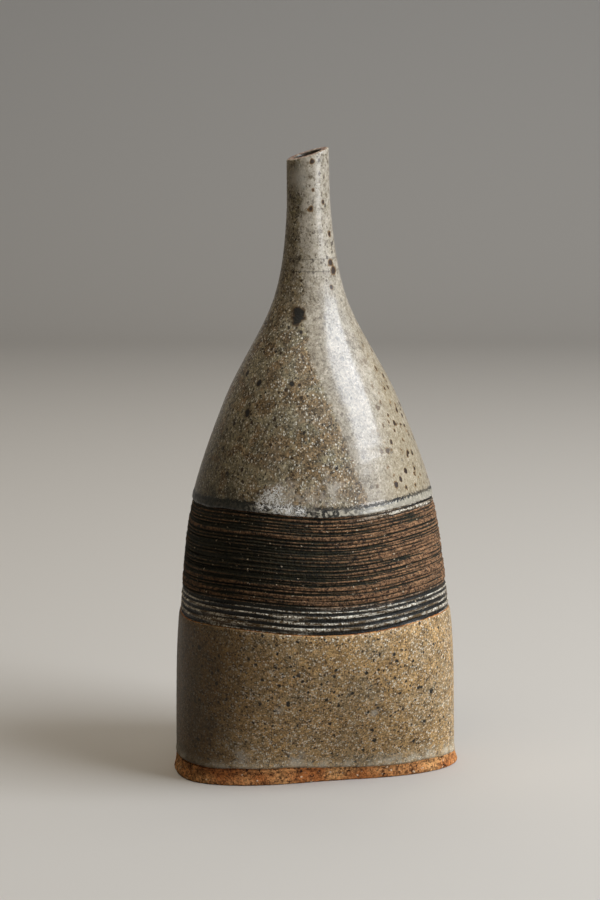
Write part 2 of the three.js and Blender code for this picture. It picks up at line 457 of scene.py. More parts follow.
# Partly wear, partly painted light and shade: the bare ridges show more towards the lit right and less
# on the shaded left.
worn_and_lit_right = add_node(tree, "MapRange", {0: across, 1: LEAST_WORN_AND_LIT, 2: MOST_WORN_AND_LIT, 3: 0.32, 4: 1.0})
from_pool = add_node(tree, "VectorMath", {0: place, 1: WASH_POOL}, operation="SUBTRACT")
pool_shape = add_node(tree, "VectorMath", {0: from_pool, 1: WASH_POOL_SHAPE}, operation="MULTIPLY")
pool_reach = add_node(tree, "VectorMath", {0: pool_shape}, operation="LENGTH")
worn_pool = add_node(tree, "MapRange", {0: pool_reach.outputs["Value"], 1: WASH_POOL_MIDDLE,
                                        2: WASH_POOL_EDGE, 3: 0.15, 4: 1.0})
wear = add_node(tree, "MapRange", {0: streaks, 1: 0.34, 2: 0.54, 3: 0.15})
for factor in (worn_and_lit_right, worn_pool):
    wear = add_node(tree, "Math", {0: wear, 1: factor}, operation="MULTIPLY")
wash_level = add_node(tree, "MapRange", {0: wear, 3: 0.1, 4: 0.6})
above_wash = add_node(tree, "Math", {0: wash_level, 1: cut_depth}, operation="SUBTRACT")
crest_share = add_node(tree, "MapRange", {0: above_wash, 2: 0.18})
worn_share = add_node(tree, "MapRange", {0: wear, 2: 0.8, 3: 0.3, 4: 1.0})
bare_share = add_node(tree, "Math", {0: crest_share, 1: worn_share}, operation="MULTIPLY")
grain_share = add_node(tree, "MapRange", {0: grains, 1: 0.15, 2: 0.85})
rust = add_node(tree, "MixRGB", {"Fac": grain_share, "Color1": linear("2c1b10"),
                                 "Color2": linear("ab805a")})
wash = add_node(tree, "MixRGB", {"Fac": grain_share, "Color1": linear("12130d"),
                                 "Color2": linear("34301f")})
rusty = add_node(tree, "MixRGB", {"Fac": bare_share, "Color1": wash, "Color2": rust})
low_lines = add_node(tree, "MapRange", {0: height_up, 1: band_bottom + GLAZED_LINES + 0.6 * MM,
                                        2: band_bottom + GLAZED_LINES - 1.2 * MM})
# The topmost lines are glazed only on the right, where their pale crests are partly painted glints.
top_lines = add_node(tree, "MapRange", {0: height_up, 1: roll_edge - 2.6 * MM, 2: roll_edge - 2.2 * MM})
glazed_and_lit_right = add_node(tree, "MapRange", {0: across, 1: 0.0, 2: 20 * MM, 4: 0.9})
top_glazed = add_node(tree, "Math", {0: top_lines, 1: glazed_and_lit_right}, operation="MULTIPLY")
glazed = add_node(tree, "Math", {0: low_lines, 1: top_glazed}, operation="MAXIMUM")
runs = add_node(tree, "Mapping", {
    "Vector": place, "Scale": (1 / GLAZE_RUN_LENGTH, 1 / GLAZE_RUN_LENGTH, 1 / GLAZE_RUN_WIDTH)})
patches = add_node(tree, "TexNoise", {"Vector": runs, "Scale": 1.0, "Detail": 3.0, "Roughness": 0.7})
patch_share = add_node(tree, "MapRange", {0: patches, 1: 0.41, 2: 0.56})
grit_share = add_node(tree, "MapRange", {0: grains, 1: 0.3, 2: 0.6})
broken_share = add_node(tree, "Math", {0: patch_share, 1: grit_share}, operation="MULTIPLY")
# The crests in the glazed lines are near white: partly pale glaze, partly painted glints.
crest_glaze_and_glint = add_node(tree, "MixRGB", {"Fac": broken_share, "Color1": linear("5e4a2c"),
                                        "Color2": linear("fff6e0")})
thin_crest = add_node(tree, "MapRange", {0: cut_depth, 1: 0.38, 2: 0.18})
glaze_line = add_node(tree, "MixRGB", {"Fac": thin_crest, "Color1": linear("100f09"),
                                       "Color2": crest_glaze_and_glint})
lined = add_node(tree, "MixRGB", {"Fac": glazed, "Color1": rusty, "Color2": glaze_line})
# The pale specks are partly grit and partly painted glints.
colour = add_specks(tree, place, lined, (
    (1.7 * MM, -0.35 * MM, 0.34 * MM, "c9b497"),
))
gloss = add_node(tree, "MapRange", {0: glazed, 3: 0.85, 4: 0.45})
torn = add_node(tree, "Bump", {"Height": torn_grain, "Strength": 1.0, "Distance": TEAR_DEPTH})
feed(tree, shader, {"Base Color": colour, "Normal": torn, "Roughness": gloss, "Specular IOR Level": 0.3})

set_piece(bm, "comb_band", "combed_band", washed)

# Shoulder. A bell of the same stoneware, thrown on the wheel, that draws the wall in to the neck.
# Slip joins its bevelled rims to the band and the neck, and its glaze hides it.

shoulder_bottom = roll_edge + SLIP_HALF
shoulder_top = neck_root - SLIP_HALF
set_piece(clay_member(shoulder_bottom, shoulder_bottom + JOINT_BEVEL,
                      shoulder_top, shoulder_top + JOINT_BEVEL),
          "bell_shoulder", "shoulder", clay)

# Neck. A narrow tube of the same stoneware, thrown on the wheel and joined to the shoulder with slip.
# It is open all the way down, and its lip was cut slanting with a wire.

neck_bottom = neck_root + SLIP_HALF
set_piece(clay_member(neck_bottom, neck_bottom + JOINT_BEVEL, lip_height, lip_height),
          "slant_neck", "neck", clay)

# Base. A rolled slab of the same stoneware, left bare, cut to the foot's outline and joined to the wall
# with slip. Its edge spreads a little where it stands, and its corners are worn round.

BASE_STAND_OUT = 0.8 * MM
BASE_EDGE_ROUND = 0.5 * MM
BASE_SPREAD_HEIGHT = 4.5 * MM
BASE_RING_STEP = 0.35 * MM
BASE_GRAIN = 0.16 * MM
BASE_GRAIN_SIZE = 1.6 * MM
BASE_INNER_RINGS = 8


def base_edge():
    """The slab's edge from its underside up to its top face."""
    quarter = [math.radians(degrees) for degrees in range(0, 90, 15)]
    low = [outer(BASE_EDGE_ROUND * (1 - math.cos(a)),
                 BASE_STAND_OUT - BASE_EDGE_ROUND * (1 - math.sin(a))) for a in quarter]
    side = [outer(height, BASE_STAND_OUT * smooth_share(height, BASE_SPREAD_HEIGHT, 0))
            for height in levels(BASE_EDGE_ROUND, base_top - BASE_EDGE_ROUND, BASE_RING_STEP)]
    return low + side + [outer(base_top, -BASE_EDGE_ROUND)]


edge = base_edge()
underside = [(edge[0][0] * i / BASE_INNER_RINGS, 0.0) for i in range(BASE_INNER_RINGS)]
top_face = [(edge[-1][0] * i / BASE_INNER_RINGS, base_top) for i in reversed(range(BASE_INNER_RINGS))]
bm = throw(underside + edge + top_face, closed=False)
for vert in bm.verts:
    radius = math.hypot(vert.co.x, vert.co.y)
    if 0 < vert.co.z < base_top:
        rough = BASE_GRAIN * noise.noise(vert.co / BASE_GRAIN_SIZE)
        vert.co.xy *= (radius + rough) / radius
press(bm)
set_piece(bm, "slab_base", "base_slab", clay)

# Lower glaze. A satin coat over the lower wall, poured on and wiped off the base, so that it ends
# in a soft wavering rim above the bare strip, lower on the right than on the left.

GLAZE_BOND = 0.05 * MM
GLAZE_RING_STEP = 0.8 * MM
RIM_WAVER = 0.7 * MM
RIM_WAVER_TURNS = 2.6
RIM_WAVER_PHASE = 3.7

# The rim drops twice on its way from the left end, -1, to the right end, 1. Its waver and its drops
# fade out up the wall, and a higher power fades them sooner.
RIM_DROP = 1.5 * MM
RIM_DROP_SPAN = (-0.25, 0.15)
RIM_END_DROP = 1.2 * MM
RIM_END_SPAN = (0.8, 1.0)
RIM_FADE = 4

# Sections of the coat's two edges in millimetres: how far in from the edge, and how far it stands out.
RIM_SECTION = ((0.0, -0.25), (0.1, 0.05), (0.4, 0.22), (0.9, 0.26), (1.6, 0.14))
TOP_SECTION = ((1.2, -0.06), (0.4, -0.2), (0.0, -0.38))
RIM_REACH = 2.4 * MM
TOP_REACH = 2.0 * MM


def coat_inside(top, bottom):
    """The side of a coat that is fused to the clay."""
    return [outer(height, GLAZE_BOND - GLAZE_THICKNESS) for height in levels(top, bottom, COARSE_STEP)]


coat_bottom = base_top + 2 * SLIP_HALF
coat_top = band_bottom - SLIP_HALF
rim = [outer(coat_bottom + up * MM, out * MM) for up, out in RIM_SECTION]
surface = [outer(height, 0.0) for height in
           levels(coat_bottom + RIM_REACH, coat_top - TOP_REACH, GLAZE_RING_STEP)]
top_edge = [outer(coat_top - down * MM, out * MM) for down, out in TOP_SECTION]
bm = throw(rim + surface + top_edge + coat_inside(coat_top, coat_bottom))
for vert in bm.verts:
    turn = math.atan2(vert.co.y, vert.co.x)
    along = math.cos(turn)
    waving = Vector((RIM_WAVER_TURNS * along, RIM_WAVER_TURNS * math.sin(turn), RIM_WAVER_PHASE))
    rise = RIM_WAVER * noise.noise(waving)
    rise -= RIM_DROP * smooth_share(along, *RIM_DROP_SPAN)
    rise -= RIM_END_DROP * smooth_share(along, *RIM_END_SPAN)
    vert.co.z += rise * smooth_share(vert.co.z, band_bottom, base_top) ** RIM_FADE
press(bm)

# Speckled satin glaze: warm beige, thin enough for the grains of the clay to show through as pale
# and brown flecks, with iron dots that burnt through it and a paler rim where it is thick. Real
# flecks are finer still: these are drawn as coarse as they need to be to show.
FLECK_SIZE = 0.45 * MM
CLUMP_SIZE = 4.0 * MM
RELIEF_SIZE = 0.65 * MM
RELIEF_DEPTH = 0.35 * MM
CLUMPING = 0.8
FLECK_MIDDLE = 0.5 + 0.5 * CLUMPING


def flecked_coats(tree, place, coats):
    """Colours of a flecked glaze, one for each run of (level, colour) stops from dark to pale flecks."""
    clumps = add_node(tree, "TexNoise", {"Vector": place, "Scale": 1 / CLUMP_SIZE, "Detail": 3.0})
    level = add_node(tree, "Math", {0: clumps, 1: CLUMPING, 2: add_grains(tree, place, FLECK_SIZE)},
                     operation="MULTIPLY_ADD")
    share = add_node(tree, "Math", {0: level, 1: 2 * FLECK_MIDDLE}, operation="DIVIDE")
    colours = []
    for stops in coats:
        ramp = add_node(tree, "ValToRGB", {"Fac": share})
        for _ in stops[2:]:
            ramp.color_ramp.elements.new(0.5)
        for element, (above_middle, stop_hex) in zip(ramp.color_ramp.elements, stops):
            element.position = 0.5 + 0.5 * above_middle / FLECK_MIDDLE
            element.color = linear(stop_hex)
        colours.append(ramp)
    return colours


def add_marks(tree, place, colour, marks, edge, edge_depth, rings, stretch=1.0):
    """Stains a colour round places of their own, each ((x, y, z), radius) in millimetres.

    The noise on edge frays a stain by edge_depth. Each ring is (reach, softness, colour, most), and
    depths, reaches and softnesses are in radii.
    """
    fraying = []
    for (x, y, z), radius in marks:
        away = add_node(tree, "VectorMath", {0: place, 1: (x * MM, y * MM, stretch * z * MM)},
                        operation="DISTANCE")
        frayed = add_node(tree, "Math", {0: edge, 1: edge_depth * radius * MM,
                                         2: away.outputs["Value"]}, operation="MULTIPLY_ADD")
        fraying.append((frayed, radius * MM))
    for reach, soft, stain_hex, most in rings:
        for frayed, radius in fraying:
            share = add_node(tree, "MapRange", {0: frayed, 1: reach * radius,
                                                2: (reach - soft) * radius, 4: most})
            colour = add_node(tree, "MixRGB", {"Fac": share, "Color1": colour,
                                               "Color2": linear(stain_hex)})
    return colour


# Stops of a coat's colours: how far above the middle a fleck's level is, and its colour.
BEIGE_COAT = ((-0.42, "6e5636"), (-0.15, "a58253"), (0.05, "c29b64"), (0.3, "ddb274"), (0.45, "f6cc90"))
GREY_COAT = ((-0.42, "64543a"), (-0.15, "9a815a"), (0.05, "b7996c"), (0.3, "d2ae7d"), (0.45, "edca99"))
SMOKE_STAIN = (((-42.0, -21.1, 21.7), 5.0), ((-43.0, -26.0, 45.0), 6.0))
PALE_SMUDGES = (((-32.6, -24.0, 11.0), 3.2), ((-13.0, -26.2, 9.4), 4.2), ((12.5, -33.6, 26.0), 2.2),
                ((-21.0, -33.0, 30.0), 1.8))
IRON_DOTS = (
    ((17.9, -39.4, 48.8), 0.8),
    ((16.8, -37.0, 38.0), 0.55),
    ((13.6, -34.4, 28.6), 0.55),
    ((20.4, -32.2, 26.0), 0.55),
    ((32.0, -30.9, 36.6), 0.5),
    ((-3.3, -40.1, 42.5), 0.7),
    ((1.7, -29.6, 15.9), 0.6),
    ((-15.6, -39.0, 43.0), 0.75),
)
CLOUD_SIZE = 11 * MM
RAGGED_SIZE = 3 * MM
PALE_RIM_TOP = 4 * MM
PALEST_BELOW = 0.5 * MM
SHADE_STARTS = -24 * MM
SHADE_FULL = -48 * MM
speckled, tree, shader = new_material("speckled_satin_glaze")
place = add_node(tree, "TexCoord").outputs["Object"]
height_up = add_node(tree, "Attribute", attribute_name="wheel_height").outputs["Fac"]
beige_coat, grey_coat = flecked_coats(tree, place, (BEIGE_COAT, GREY_COAT))
clouds = add_node(tree, "TexNoise", {"Vector": place, "Scale": 1 / CLOUD_SIZE, "Detail": 4.0,
                                     "Distortion": 0.7})
cloud_share = add_node(tree, "MapRange", {0: clouds, 1: 0.45, 2: 0.65})
clouded = add_node(tree, "MixRGB", {"Fac": cloud_share, "Color1": beige_coat, "Color2": grey_coat})
# Dark specks, and pale specks that are partly pale grains and partly painted glints.
colour = add_specks(tree, place, clouded, (
    (0.85 * MM, -0.12 * MM, 0.4 * MM, "33220f"),
    (0.75 * MM, -0.1 * MM, 0.36 * MM, "fff4dc"),
    (2.2 * MM, -0.3 * MM, 0.68 * MM, "1f160b"),
    (5.0 * MM, -0.5 * MM, 0.95 * MM, "1d160d"),
))
# Painted shade: the coat darkens towards the left, where the pot turns away from the light, specks and
# all.
across = add_node(tree, "SeparateXYZ", {"Vector": place}).outputs["X"]
shade_left = add_node(tree, "MapRange", {0: across, 1: SHADE_STARTS, 2: SHADE_FULL, 4: 0.78})
left_shaded_colour = add_node(tree, "MixRGB", {"Fac": shade_left, "Color1": colour, "Color2": linear("3a2f1d")})
ragged = add_node(tree, "TexNoise", {"Vector": place, "Scale": 1 / RAGGED_SIZE, "Detail": 3.0})
near_rim = add_node(tree, "MapRange", {0: height_up, 1: coat_bottom + PALE_RIM_TOP,
                                       2: coat_bottom + PALEST_BELOW})
rim_patch = add_node(tree, "MapRange", {0: ragged, 1: 0.4, 2: 0.62, 3: 0.15, 4: 0.7})
rim_share = add_node(tree, "Math", {0: near_rim, 1: rim_patch}, operation="MULTIPLY")
colour = add_node(tree, "MixRGB", {"Fac": rim_share, "Color1": left_shaded_colour, "Color2": linear("dccfb4")})
for marks, edge_depth, ring in ((SMOKE_STAIN, 1.4, (1.7, 1.2, "1d180e", 0.55)),
                                (PALE_SMUDGES, 3.0, (2.5, 0.9, "ddd3c0", 0.6)),
                                (IRON_DOTS, 2.0, (2.2, 0.5, "19140d", 0.95))):
    colour = add_marks(tree, place, colour, marks, ragged, edge_depth, (ring,))
grain = add_node(tree, "TexNoise", {"Vector": place, "Scale": 1 / RELIEF_SIZE, "Detail": 2.0,
                                    "Roughness": 0.75})
orange_peel = add_node(tree, "Bump", {"Height": grain, "Strength": 0.9, "Distance": RELIEF_DEPTH})
feed(tree, shader, {"Base Color": colour, "Normal": orange_peel, "Roughness": 0.5,
                    "Specular IOR Level": 0.35})

set_piece(bm, "speckled_coat", "lower_glaze", speckled)

# Upper glaze. A glossy coat over the shoulder and neck that ran a little and stopped in a thick
# roll at the band, under a line cut by the potter. It folds over the lip and into the bore.

ROLL_WAVER = 0.35 * MM
ROLL_LUMPS = 9 * MM
ROLL_BEADS = 0.1 * MM
ROLL_BEAD_SIZE = 1.8 * MM
CUT_LINE_UP = 2.6 * MM
COAT_REACH = 1.2 * MM
LIP_COAT = 0.3 * MM
LIP_CROWN = 0.45 * MM
LIP_DROP = 0.1 * MM
LIP_SQUARENESS = 0.6
BORE_COAT_TOP = 0.6 * MM
BORE_COAT_DEPTH = 6 * MM

# Section of the roll and the cut line in millimetres: how far up, and how far it stands out.
ROLL_SECTION = ((0.0, -0.3), (0.02, 0.0), (0.12, 0.05), (0.8, 0.1), (1.6, 0.08), (2.1, 0.03),
                (2.6, -0.12), (3.05, 0.0))

# The coat's section: up over the roll and the cut line, along the surface, over the lip, down into
# the bore, and back along the clay.
coat_bottom = roll_edge + SLIP_HALF
cut_line = coat_bottom + CUT_LINE_UP
roll = [outer(coat_bottom + up * MM, out * MM) for up, out in ROLL_SECTION]
surface = [outer(height, 0.0) for height in
           levels(cut_line + COAT_REACH, lip_height - COAT_REACH, GLAZE_RING_STEP)]
lip_outside, _ = outer(lip_height, 0.0)
lip_inside, _ = inner(lip_height)
lip_round = 0.5 * (lip_outside - lip_inside) + 0.5 * LIP_COAT
lip_middle = 0.5 * (lip_outside + lip_inside) - 0.5 * LIP_COAT
lip_turns = [math.radians(degrees) for degrees in range(15, 180, 15)]
lip_fold = [(lip_middle + lip_round * math.copysign(abs(math.cos(a)) ** LIP_SQUARENESS, math.cos(a)),
             lip_height - LIP_DROP + LIP_CROWN * math.sin(a)) for a in lip_turns]
bore = [(inner(height)[0] - LIP_COAT, height) for height in
        levels(lip_height - BORE_COAT_TOP, lip_height - BORE_COAT_DEPTH, GLAZE_RING_STEP)]
back_up = [(inner(height)[0] - GLAZE_BOND, height) for height in
           levels(lip_height - BORE_COAT_DEPTH, lip_height, 2 * GLAZE_RING_STEP)]
over_clay = [(lip_inside - GLAZE_BOND, lip_height + GLAZE_BOND),
             (lip_outside - GLAZE_THICKNESS + GLAZE_BOND, lip_height + GLAZE_BOND)]
fused_side = coat_inside(lip_height - GLAZE_RING_STEP, coat_bottom)
bm = throw(roll + surface + lip_fold + bore + back_up + over_clay + fused_side)
for vert in bm.verts:
    roll_share = smooth_share(vert.co.z, cut_line, coat_bottom)
    beads = ROLL_BEADS * roll_share * noise.noise(vert.co / ROLL_BEAD_SIZE)
    swell = 1 + beads / math.hypot(vert.co.x, vert.co.y)
    vert.co.z += ROLL_WAVER * roll_share * noise.noise(vert.co / ROLL_LUMPS)
    vert.co.xy *= swell
press(bm)

# Oatmeal glaze: grey cream over a toasted body. Where it is thin the body shows as brown and olive
# flecks, where it is thick it is milky and smooth, and iron in the clay bleeds through as specks. Its
# flecks too are drawn coarser than they are, so that they show.
BROWN_COAT = ((-0.42, "453723"), (-0.15, "705c3d"), (0.05, "866e4a"), (0.3, "a2845a"), (0.45, "c4a67c"))
OLIVE_COAT = ((-0.42, "534c39"), (-0.15, "807559"), (0.05, "978a6b"), (0.3, "b0a17c"), (0.45, "cab990"))
MILKY_COAT = ((-0.42, "7d705b"), (-0.15, "a1947f"), (0.05, "b2a690"), (0.3, "c3b7a1"), (0.45, "d6cbb8"))
CLOUD_SIZE = 12 * MM
TINT_SIZE = 7 * MM
RAGGED_SIZE = 2.2 * MM
RUN_STRETCH = 0.8
oatmeal, tree, shader = new_material("oatmeal_stoneware_glaze")
place = add_node(tree, "TexCoord").outputs["Object"]
height_up = add_node(tree, "Attribute", attribute_name="wheel_height").outputs["Fac"]
depth_in = add_node(tree, "Attribute", attribute_name="wall_depth").outputs["Fac"]
across = add_node(tree, "SeparateXYZ", {"Vector": place}).outputs["X"]
run_down = add_node(tree, "Mapping", {"Vector": place, "Scale": (1.0, 1.0, RUN_STRETCH)})
brown_coat, olive_coat, milky_coat = flecked_coats(tree, run_down, (BROWN_COAT, OLIVE_COAT, MILKY_COAT))
clouds = add_node(tree, "TexNoise", {"Vector": place, "Scale": 1 / CLOUD_SIZE, "Detail": 4.0})
tints = add_node(tree, "TexNoise", {"Vector": place, "Scale": 1 / TINT_SIZE, "Detail": 3.0,
                                    "Distortion": 0.8})
ragged = add_node(tree, "TexNoise", {"Vector": place, "Scale": 1 / RAGGED_SIZE, "Detail": 3.0})

# The thin coat is browner to the right, but not on the neck. The coat is thick in clouds, and over the
# right side, which had a second pour: its edge runs straight down the neck and leans to the right over
# the shoulder. The left is darkened as painted shade.
BROWNER = 3.0
NECK_STARTS = 155 * MM
NECK_FULL = 178 * MM
POUR_NECK_EDGE = -7.8 * MM
POUR_FOOT_EDGE = 11 * MM
POUR_BEND = 150 * MM
POUR_FOOT = 95 * MM
POUR_RAGGED = 5 * MM
SHADE_STARTS = -31 * MM
SHADE_FULL = -43 * MM
brown_level = add_node(tree, "Math", {0: across, 1: BROWNER, 2: tints}, operation="MULTIPLY_ADD")
up_neck = add_node(tree, "MapRange", {0: height_up, 1: NECK_STARTS, 2: NECK_FULL})
most_brown = add_node(tree, "MapRange", {0: up_neck, 3: 1.0, 4: 0.25})
brown_share = add_node(tree, "MapRange", {0: brown_level, 1: 0.38, 2: 0.52, 4: most_brown})
thin_coat = add_node(tree, "MixRGB", {"Fac": brown_share, "Color1": olive_coat, "Color2": brown_coat})
pour_edge = add_node(tree, "MapRange", {0: height_up, 1: POUR_BEND, 2: POUR_FOOT, 3: POUR_NECK_EDGE,
                                        4: POUR_FOOT_EDGE})
past_edge = add_node(tree, "Math", {0: across, 1: pour_edge}, operation="SUBTRACT")
past_ragged = add_node(tree, "Math", {0: ragged, 1: POUR_RAGGED, 2: past_edge},
                       operation="MULTIPLY_ADD")
poured = add_node(tree, "MapRange", {0: past_ragged, 1: 0.5 * POUR_RAGGED - 0.5 * MM,
                                     2: 0.5 * POUR_RAGGED + 0.8 * MM, 4: 0.85})
cloud_share = add_node(tree, "MapRange", {0: clouds, 1: 0.5, 2: 0.72, 4: 0.3})
neck_mottle = add_node(tree, "MapRange", {0: ragged, 1: 0.42, 2: 0.58, 3: 0.0, 4: 0.65})
neck_thick = add_node(tree, "Math", {0: up_neck, 1: neck_mottle}, operation="MULTIPLY")
thick_share = poured
for thicker in (cloud_share, neck_thick):
    thick_share = add_node(tree, "Math", {0: thick_share, 1: thicker}, operation="MAXIMUM")
thickened = add_node(tree, "MixRGB", {"Fac": thick_share, "Color1": thin_coat, "Color2": milky_coat})
neck_white = add_node(tree, "Math", {0: up_neck, 1: poured}, operation="MULTIPLY")
white_share = add_node(tree, "Math", {0: neck_white, 1: neck_mottle}, operation="MULTIPLY")
whitened = add_node(tree, "MixRGB", {"Fac": white_share, "Color1": thickened,
                                     "Color2": linear("cec2ae")})
far_right = add_node(tree, "MapRange", {0: across, 1: 9 * MM, 2: 20 * MM})
yellow_share = add_node(tree, "Math", {0: far_right, 1: 0.28}, operation="MULTIPLY")
yellowed = add_node(tree, "MixRGB", {"Fac": yellow_share, "Color1": whitened,
                                     "Color2": linear("bfa878")})
thin_specks = add_node(tree, "MapRange", {0: thick_share, 1: 0.1, 2: 0.8, 3: 1.0, 4: 0.25})
# Fine dark specks, and pale specks that are partly pale grains and partly painted glints.
colour = add_specks(tree, run_down, yellowed, (
    (0.8 * MM, -0.12 * MM, 0.38 * MM, "2c1e0b"),
    (0.7 * MM, -0.1 * MM, 0.31 * MM, "f6eed9"),
), thin_specks)
dark_specks = add_node(tree, "MapRange", {0: thick_share, 1: 0.1, 2: 0.8, 3: 1.0, 4: 0.5})
colour = add_specks(tree, run_down, colour, (
    (2.2 * MM, -0.4 * MM, 0.62 * MM, "38260f"),
    (5.0 * MM, -0.5 * MM, 1.05 * MM, "251a0e"),
), dark_specks)
neck_specks = add_node(tree, "Math", {0: up_neck, 1: 0.75}, operation="MULTIPLY")
colour = add_specks(tree, run_down, colour, (
    (0.9 * MM, -0.15 * MM, 0.4 * MM, "4a3a22"),
    (2.4 * MM, -0.5 * MM, 0.7 * MM, "2c1c0c"),
), neck_specks)
colour = add_specks(tree, run_down, colour, (
    (2.3 * MM, -0.3 * MM, 1.15 * MM, "977440"),
    (2.3 * MM, -0.5 * MM, 1.0 * MM, "2e1c0a"),
), far_right)
# Painted shade: the left side is darkened.
shade_left = add_node(tree, "MapRange", {0: across, 1: SHADE_STARTS, 2: SHADE_FULL, 4: 0.6})
colour = add_node(tree, "MixRGB", {"Fac": shade_left, "Color1": colour, "Color2": linear("332f22")})

# The roll, where the glaze stopped: dark and glassy on the left, and cream on the right. Its pale clots
# are partly cream glaze and partly painted glints.
CLOT_SIZE = 1.3 * MM
roll_zone = add_node(tree, "MapRange", {0: height_up, 1: cut_line, 2: cut_line - 0.4 * MM, 4: 0.95})
clots = add_node(tree, "TexNoise", {"Vector": place, "Scale": 1 / CLOT_SIZE, "Detail": 2.0})
clot_and_glint_share = add_node(tree, "MapRange", {0: clots, 1: 0.45, 2: 0.57})
cream_right = add_node(tree, "MapRange", {0: across, 1: -2 * MM, 2: 12 * MM, 4: 0.7})
clotted_and_glinting = add_node(tree, "Math", {0: clot_and_glint_share, 1: cream_right}, operation="MAXIMUM")
dark_left = add_node(tree, "MapRange", {0: across, 1: -34 * MM, 2: -22 * MM, 3: 0.1})
cream_and_glint_share = add_node(tree, "Math", {0: clotted_and_glinting, 1: dark_left}, operation="MULTIPLY")
roll_colour = add_node(tree, "MixRGB", {"Fac": cream_and_glint_share, "Color1": linear("14160f"),
                                        "Color2": linear("c9bfa8")})
colour = add_node(tree, "MixRGB", {"Fac": roll_zone, "Color1": colour, "Color2": roll_colour})

# The line cut above the roll and two throwing lines on the neck, frayed and broken where glaze
# filled them: each with its height, half width, fray and strength.
FRAY_SIZE = 0.7 * MM
LINES = (
    (cut_line, 0.6 * MM, 2.4 * MM, 1.0),
    (177.0 * MM, 0.2 * MM, 0.3 * MM, 0.42),
    (181.2 * MM, 0.2 * MM, 0.3 * MM, 0.42),
)
broken = add_node(tree, "MapRange", {0: clouds, 1: 0.62, 2: 0.45, 3: 0.8})
fine_clots = add_node(tree, "TexNoise", {"Vector": place, "Scale": 1 / FRAY_SIZE, "Detail": 1.0})
dull = 0.0
for height, half_width, fray, most in LINES:
    frayed = add_node(tree, "Math", {0: fine_clots, 1: fray, 2: height_up}, operation="MULTIPLY_ADD")
    off_line = add_node(tree, "Math", {0: frayed, 1: height + 0.5 * fray}, operation="SUBTRACT")
    away = add_node(tree, "Math", {0: off_line}, operation="ABSOLUTE")
    line_share = add_node(tree, "MapRange", {0: away, 1: 1.3 * half_width, 2: 0.5 * half_width,
                                             4: most})
    share = add_node(tree, "Math", {0: line_share, 1: broken}, operation="MULTIPLY")
    colour = add_node(tree, "MixRGB", {"Fac": share, "Color1": colour, "Color2": linear("0a0b07")})
    dull = add_node(tree, "Math", {0: dull, 1: share}, operation="MAXIMUM")

# Marks of the firing: pale pools where the glaze gathered above the band, white crystals that grew
# through them in threads, ash that dulled the neck, and iron that burnt through as dark blotches and as
# spots in golden rings. The white crystals and the white haze are partly painted reflections.
CRYSTAL_SIZE = 1.3 * MM
feather = add_node(tree, "TexNoise", {"Vector": place, "Scale": 1 / CRYSTAL_SIZE, "Detail": 2.0,
                                      "Distortion": 1.2})
feather_off = add_node(tree, "Math", {0: feather, 1: 0.5}, operation="SUBTRACT")
threads = add_node(tree, "Math", {0: feather_off}, operation="ABSOLUTE")
PALE_POOLS = (
    ((-18.3, -35.3, 104.2), 6.0),
    ((-10.2, -37.0, 104.0), 5.0),
    ((-3.6, -38.5, 106.0), 5.6),
)
WHITE_HAZE_AND_SHEEN = (((-2.9, -39.0, 105.6), 3.4), ((-23.6, -33.3, 103.0), 3.6))
WHITE_CRYSTALS_AND_GLINTS = (
    ((-26.3, -31.7, 101.5), 3.2),
    ((-23.6, -33.3, 103.2), 4.2),
    ((-21.3, -35.3, 100.9), 3.8),
    ((-21.6, -33.8, 105.4), 3.0),
    ((-18.2, -37.0, 99.7), 3.0),
    ((-14.7, -38.3, 99.5), 2.4),
)
DARK_SMEARS = (
    ((-39.9, -14.8, 101.6), 3.6),
    ((-36.1, -22.0, 101.6), 3.6),
    ((-31.9, -27.0, 101.2), 3.0),
)
# A milky patch on the neck, painted paler than the glaze: partly milky glaze, partly painted light.
MILKY_AND_LIT_PATCHES = (((-8.6, -4.9, 208.6), 4.2),)
ASH_SHADES = (
    ((-8.6, -4.8, 201.2), 3.6),
    ((-8.2, -5.1, 213.6), 2.2),
    ((-9.8, -4.2, 188.0), 4.0),
    ((-8.8, -6.6, 181.0), 3.0),
)
IRON_BLOTCHES = (
    ((-9.3, -12.0, 163.0), 2.5),
    ((-9.7, -12.6, 161.2), 2.4),
    ((-9.1, -15.4, 157.2), 0.8),
    ((-23.7, -15.0, 140.1), 1.3),
    ((-27.9, -16.7, 130.2), 1.5),
    ((-14.0, -23.2, 140.6), 1.0),
)
IRON_SPOTS = (
    ((2.8, -7.6, 179.6), 1.35),
    ((3.9, -7.4, 177.1), 1.45),
    ((2.9, -5.9, 189.4), 0.9),
    ((-3.8, -7.3, 198.5), 1.1),
    ((2.7, -9.8, 171.6), 0.8),
    ((-3.4, -7.2, 214.4), 0.9),
    ((-3.1, -7.2, 204.6), 0.7),
    ((0.6, -6.4, 200.4), 0.7),
)
MARK_KINDS = (
    (PALE_POOLS, ragged, 2.5, ((2.2, 0.9, "cbbda9", 0.5),)),
    (DARK_SMEARS, ragged, 1.5, ((1.75, 0.8, "262a20", 0.65),)),
    (WHITE_HAZE_AND_SHEEN, ragged, 2.4, ((2.0, 1.0, "ddd5c6", 0.5),)),
    (WHITE_CRYSTALS_AND_GLINTS, threads, 11.0, ((1.2, 0.4, "f8f4ea", 1.0),)),
    (MILKY_AND_LIT_PATCHES, ragged, 1.5, ((1.8, 0.9, "dcd5c5", 0.9),)),
    (ASH_SHADES, ragged, 3.0, ((2.5, 0.8, "34342a", 0.18),)),
    (IRON_BLOTCHES, ragged, 1.4, ((1.8, 0.35, "5c4220", 0.95), (1.6, 0.3, "14130e", 0.98))),
    (IRON_SPOTS, ragged, 1.7, ((2.0, 0.3, "7d5a2a", 0.9), (1.7, 0.3, "2c1a0a", 0.97))),
)
